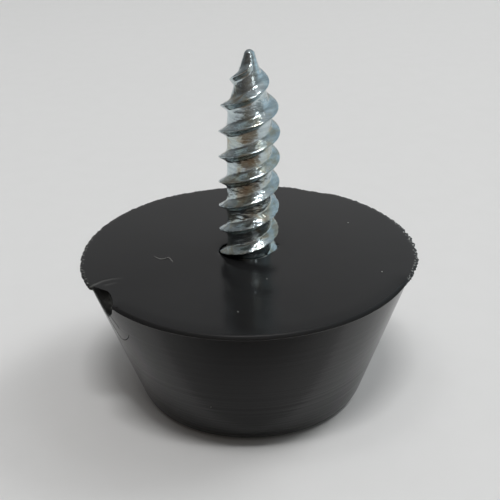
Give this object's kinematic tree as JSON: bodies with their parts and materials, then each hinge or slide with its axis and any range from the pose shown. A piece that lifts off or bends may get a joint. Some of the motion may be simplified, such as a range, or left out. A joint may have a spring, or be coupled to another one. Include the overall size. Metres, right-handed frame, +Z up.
{
  "type": "rubber foot",
  "caption": "Tapered rubber foot with a coarse wood screw moulded into its wide face, for screwing under a case, board or cabinet.",
  "frame": {"origin": "centre of the sole, on the surface the foot stands on", "axes": "+Z up along the rubber's own axis, from the sole to the wide face that the screw stands out of; the torn corner of the rim lies towards -X -Y, and the screw leans 1.46 degrees towards +X"},
  "size_m": [0.0292, 0.0292, 0.0305],
  "materials": {
    "rubber": "satin",
    "zinc_plated_steel": "gloss"
  },
  "bodies": {
    "root": {"rubber_body": "rubber", "wood_screw": "zinc_plated_steel"}
  },
  "joints": []
}
